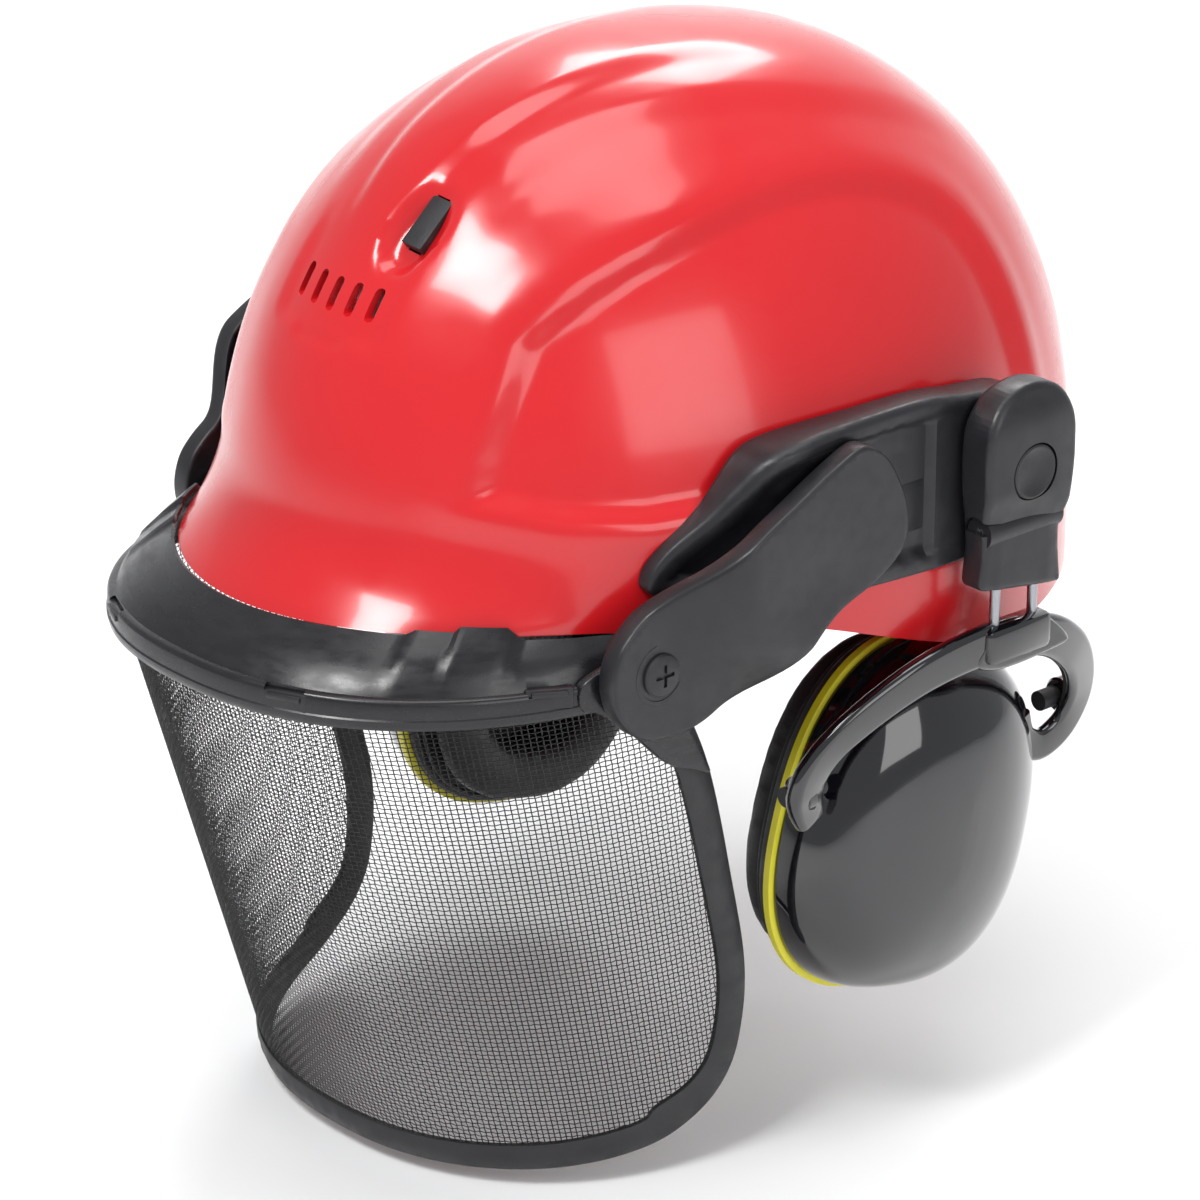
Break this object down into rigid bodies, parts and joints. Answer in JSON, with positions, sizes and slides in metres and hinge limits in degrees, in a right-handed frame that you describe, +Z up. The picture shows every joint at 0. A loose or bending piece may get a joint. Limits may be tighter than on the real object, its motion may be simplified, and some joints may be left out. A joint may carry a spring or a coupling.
{
  "type": "forestry helmet",
  "caption": "Red vented safety helmet with a hinged woven mesh visor, a pair of adjustable ear muffs and an inner head harness.",
  "frame": {"origin": "centre of the headband at brim level, where the head sits", "axes": "+Z up, the wearer faces -Y, +X is the wearer's left"},
  "size_m": [0.247, 0.309, 0.2979],
  "materials": {
    "red_shell": "glossy moulded red",
    "satin_black": "satin moulded black",
    "black_plastic": "moulded black",
    "gloss_black": "polished black",
    "harness_plastic": "flexible dark grey",
    "sweatband": "padded knit",
    "webbing": "woven webbing",
    "wire_mesh": "black coated steel weave",
    "steel": "bright wire",
    "yellow_trim": "satin lime yellow",
    "foam": "open-cell foam",
    "cushion_skin": "soft vinyl"
  },
  "bodies": {
    "helmet": {"helmet_shell": "red_shell", "headband": "harness_plastic", "sweatband": "sweatband", "cradle_straps": "webbing", "cradle_clips": "harness_plastic", "nape_housing": "harness_plastic", "left_adapter": "satin_black", "right_adapter": "satin_black"},
    "vent_shutter": {"vent_shutter": "black_plastic"},
    "nape_knob": {"nape_knob": "black_plastic", "nape_pinion": "harness_plastic"},
    "left_band_tail": {"left_band_rack": "harness_plastic"},
    "right_band_tail": {"right_band_rack": "harness_plastic"},
    "visor_arms": {"left_visor_arm": "satin_black", "right_visor_arm": "satin_black", "left_tilt_screw": "black_plastic", "right_tilt_screw": "black_plastic"},
    "visor": {"visor_frame": "satin_black", "visor_mesh": "wire_mesh", "edge_binding": "black_plastic", "visor_clips": "satin_black"},
    "left_muff_holder": {"left_muff_bracket": "satin_black", "left_muff_button": "black_plastic"},
    "left_muff_hinge": {"left_muff_hinge": "satin_black", "left_hinge_pin": "steel"},
    "left_yoke": {"left_muff_rods": "steel", "left_yoke": "gloss_black"},
    "left_cup": {"left_cup_shell": "gloss_black", "left_cup_ring": "yellow_trim", "left_cup_base": "black_plastic", "left_cup_foam": "foam", "left_cup_cushion": "cushion_skin", "left_cup_pins": "black_plastic"},
    "right_muff_holder": {"right_muff_bracket": "satin_black", "right_muff_button": "black_plastic"},
    "right_muff_hinge": {"right_muff_hinge": "satin_black", "right_hinge_pin": "steel"},
    "right_yoke": {"right_muff_rods": "steel", "right_yoke": "gloss_black"},
    "right_cup": {"right_cup_shell": "gloss_black", "right_cup_ring": "yellow_trim", "right_cup_base": "black_plastic", "right_cup_foam": "foam", "right_cup_cushion": "cushion_skin", "right_cup_pins": "black_plastic"}
  },
  "joints": [
    {"name": "vent_slide", "type": "slide", "parent": "helmet", "child": "vent_shutter", "axis": [0, 0.741, 0.6715], "range_m": [-0.004, 0.004]},
    {"name": "knob_turn", "type": "hinge", "parent": "helmet", "child": "nape_knob", "pos_m": [0, 0.1, 0], "axis": [0, -1, 0], "range_deg": [0, 100]},
    {"name": "left_band_slide", "type": "slide", "parent": "helmet", "child": "left_band_tail", "axis": [-1, 0, 0], "range_m": [0, 0.0078]},
    {"name": "right_band_slide", "type": "slide", "parent": "helmet", "child": "right_band_tail", "axis": [1, 0, 0], "range_m": [0, 0.0078]},
    {"name": "visor_lift", "type": "hinge", "parent": "helmet", "child": "visor_arms", "pos_m": [0, -0.031, 0.0295], "axis": [-1, 0, 0], "range_deg": [0, 75]},
    {"name": "visor_tilt", "type": "hinge", "parent": "visor_arms", "child": "visor", "pos_m": [0, -0.08, -0.003], "axis": [-1, 0, 0], "range_deg": [-4, 0]},
    {"name": "left_muff_swivel", "type": "hinge", "parent": "helmet", "child": "left_muff_holder", "pos_m": [0.111, 0.038, 0.033], "axis": [1, 0, 0], "range_deg": [-2, 8]},
    {"name": "left_muff_swing", "type": "hinge", "parent": "left_muff_holder", "child": "left_muff_hinge", "pos_m": [0.1169, 0.038, 0.016], "axis": [0, -1, 0], "range_deg": [0, 35]},
    {"name": "left_muff_height", "type": "slide", "parent": "left_muff_hinge", "child": "left_yoke", "axis": [0, 0, -1], "range_m": [0, 0.01]},
    {"name": "left_cup_rock", "type": "hinge", "parent": "left_yoke", "child": "left_cup", "pos_m": [0.1, 0.0235, -0.054], "axis": [0, 1, 0], "range_deg": [-8, 8]},
    {"name": "right_muff_swivel", "type": "hinge", "parent": "helmet", "child": "right_muff_holder", "pos_m": [-0.111, 0.038, 0.033], "axis": [1, 0, 0], "range_deg": [-2, 8]},
    {"name": "right_muff_swing", "type": "hinge", "parent": "right_muff_holder", "child": "right_muff_hinge", "pos_m": [-0.1169, 0.038, 0.016], "axis": [0, 1, 0], "range_deg": [0, 35]},
    {"name": "right_muff_height", "type": "slide", "parent": "right_muff_hinge", "child": "right_yoke", "axis": [0, 0, -1], "range_m": [0, 0.01]},
    {"name": "right_cup_rock", "type": "hinge", "parent": "right_yoke", "child": "right_cup", "pos_m": [-0.1, 0.0235, -0.054], "axis": [0, -1, 0], "range_deg": [-8, 8]}
  ],
  "couplings": [
    {"joint": "left_band_slide", "follows": "knob_turn", "m_per_rad": 0.0044},
    {"joint": "right_band_slide", "follows": "knob_turn", "m_per_rad": 0.0044}
  ]
}
